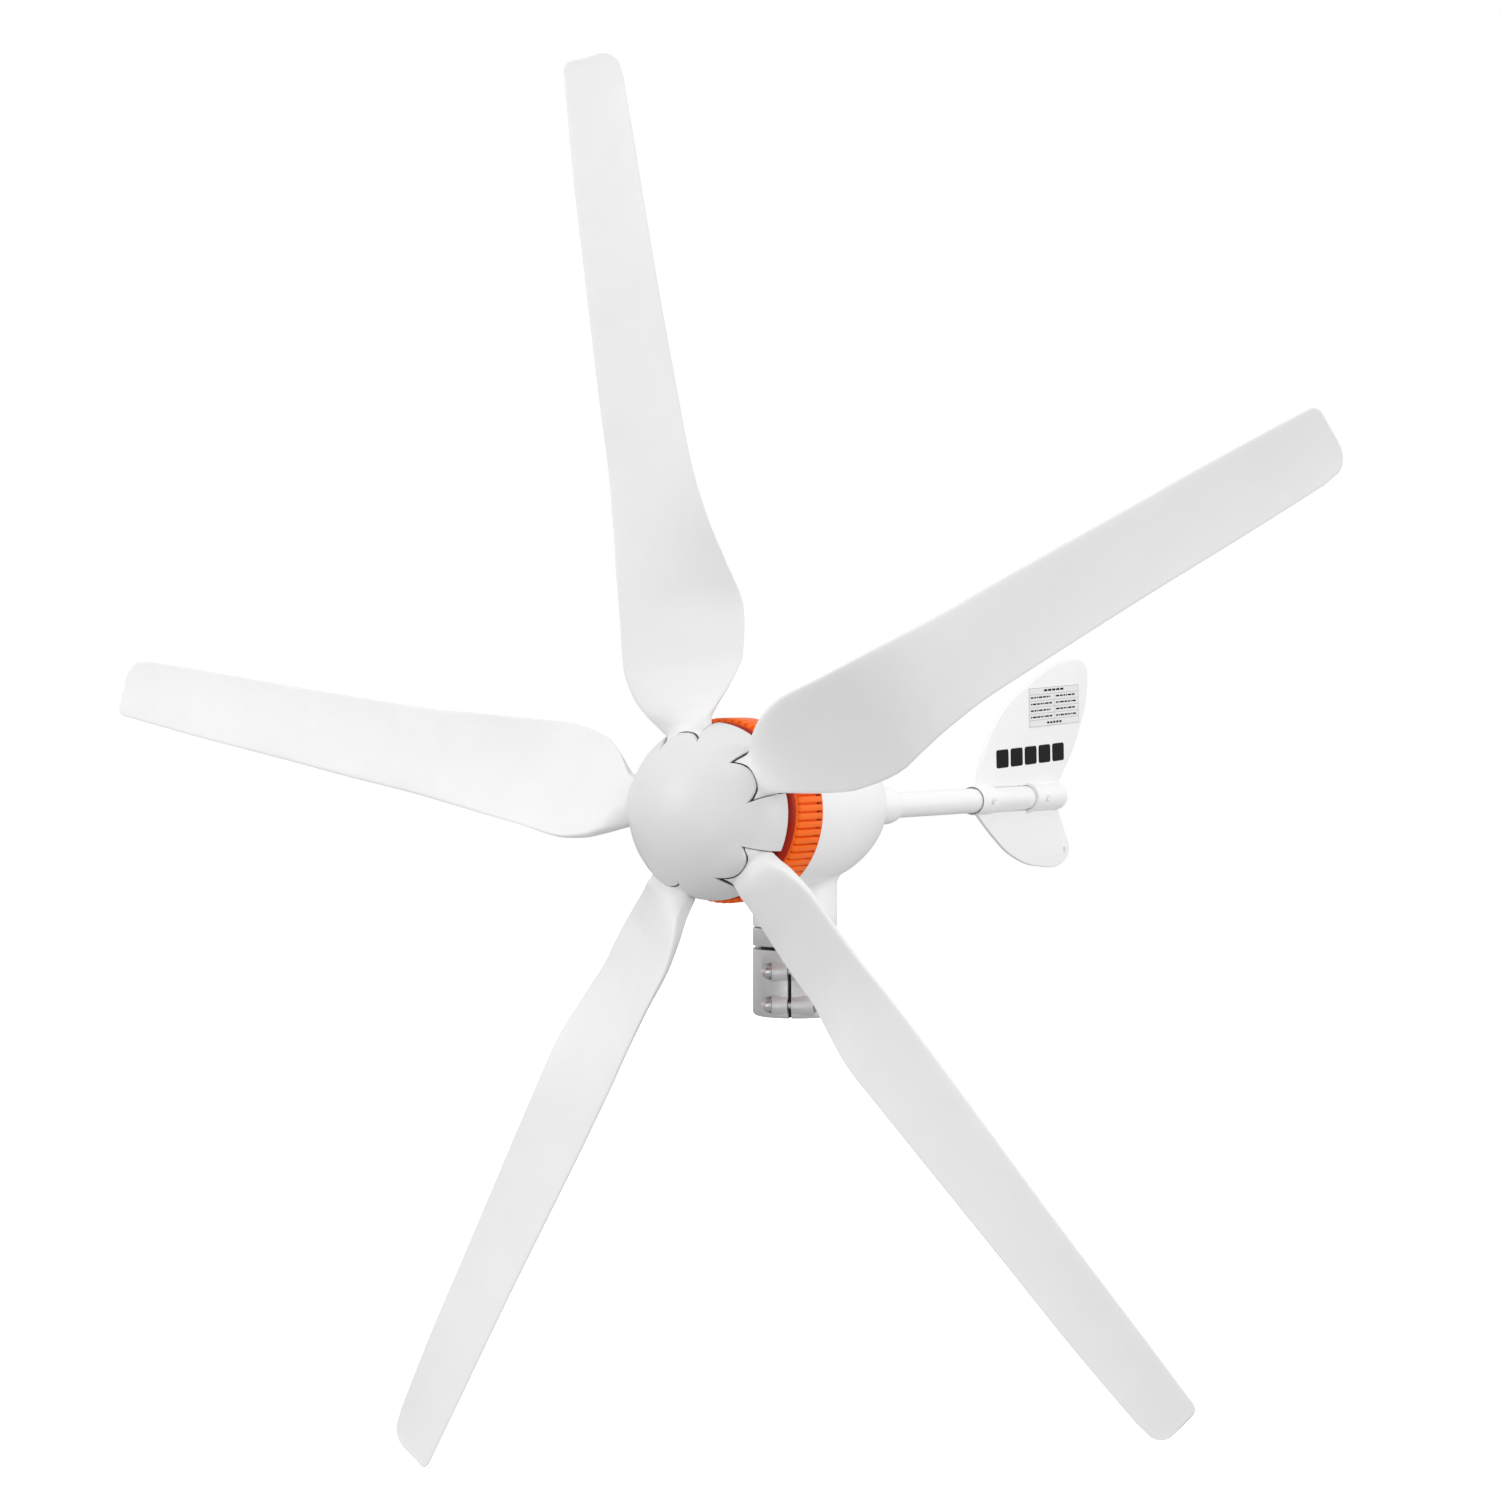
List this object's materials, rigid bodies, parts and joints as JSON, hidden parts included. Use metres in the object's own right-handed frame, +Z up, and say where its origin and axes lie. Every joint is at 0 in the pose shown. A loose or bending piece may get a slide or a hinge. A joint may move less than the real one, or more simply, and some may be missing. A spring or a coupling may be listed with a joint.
{
  "type": "small wind turbine",
  "caption": "Horizontal-axis wind turbine: a bladed rotor spins on a ribbed alternator, and the white nacelle with its tail vane yaws on a split pole clamp.",
  "frame": {"origin": "on the yaw axis, at the bottom face of the pole clamp, where the pole enters", "axes": "+Z up along the yaw axis and the pole; -Y is the way the nose points at rest, into the wind; +Y is towards the tail; +X is to the right seen from the nose's side looking at +Y"},
  "size_m": [1.1361, 0.6923, 1.1349],
  "materials": {
    "clamp_cast": "satin, machined and bead-blasted",
    "bright_steel": "zinc plated",
    "turned_steel": "ground",
    "seal_rubber": "matte",
    "black_insulator": "moulded",
    "slip_ring_brass": "turned",
    "nacelle_paint": "white powder coat",
    "cover_orange": "orange powder coat on a cast part",
    "hub_aluminium": "cast",
    "core_steel": "stacked laminations",
    "winding_varnish": "varnished copper wire",
    "vane_plastic": "moulded white plastic",
    "label_film": "printed film",
    "nose_plastic": "moulded light grey-white plastic",
    "blade_plastic": "moulded fibre-filled nylon, light grey-white"
  },
  "bodies": {
    "pole_mount": {"pole_clamp": "clamp_cast", "clamp_bolt_lower": "bright_steel", "clamp_bolt_upper": "bright_steel", "clamp_nut_lower": "bright_steel", "clamp_nut_upper": "bright_steel", "yaw_spindle": "turned_steel", "yaw_bearing_lower_inner_race": "turned_steel", "yaw_bearing_upper_inner_race": "turned_steel", "spindle_circlip": "turned_steel", "slip_ring_hub": "black_insulator", "slip_ring_1": "slip_ring_brass", "slip_ring_2": "slip_ring_brass", "slip_ring_3": "slip_ring_brass"},
    "nacelle": {"nacelle_shell": "nacelle_paint", "front_cover": "cover_orange", "rear_end_plate": "hub_aluminium", "stator_core": "core_steel", "winding_front": "winding_varnish", "winding_rear": "winding_varnish", "through_bolt_1": "bright_steel", "through_bolt_2": "bright_steel", "through_bolt_3": "bright_steel", "through_bolt_4": "bright_steel", "front_bearing_outer_race": "turned_steel", "rear_bearing_outer_race": "turned_steel", "yaw_bearing_lower_outer_race": "turned_steel", "yaw_bearing_upper_outer_race": "turned_steel", "neck_seal": "seal_rubber", "brush_holder": "black_insulator", "brush_1": "black_insulator", "brush_2": "black_insulator", "brush_3": "black_insulator", "boom_collar": "nacelle_paint", "boom_screw": "bright_steel", "tail_boom": "nacelle_paint", "tail_vane": "vane_plastic", "vane_screw_front": "nacelle_paint", "vane_screw_rear": "nacelle_paint", "rating_sticker": "label_film"},
    "rotor": {"nose_cone": "nose_plastic", "blade_1": "blade_plastic", "blade_2": "blade_plastic", "blade_3": "blade_plastic", "blade_4": "blade_plastic", "blade_5": "blade_plastic", "blade_bolt_1": "bright_steel", "blade_bolt_2": "bright_steel", "blade_bolt_3": "bright_steel", "blade_bolt_4": "bright_steel", "blade_bolt_5": "bright_steel", "blade_clamp_plate": "hub_aluminium", "hub_plate": "hub_aluminium", "hub_washer": "bright_steel", "hub_nut": "bright_steel", "main_shaft": "turned_steel", "magnet_rotor": "turned_steel", "front_bearing_inner_race": "turned_steel", "rear_bearing_inner_race": "turned_steel"}
  },
  "joints": [
    {"name": "nacelle_yaw", "type": "hinge", "parent": "pole_mount", "child": "nacelle", "pos_m": [0, 0, 0], "axis": [0, 0, 1], "continuous": true},
    {"name": "rotor_spin", "type": "hinge", "parent": "nacelle", "child": "rotor", "pos_m": [0, -0.163, 0.17], "axis": [0, 1, 0], "continuous": true}
  ]
}
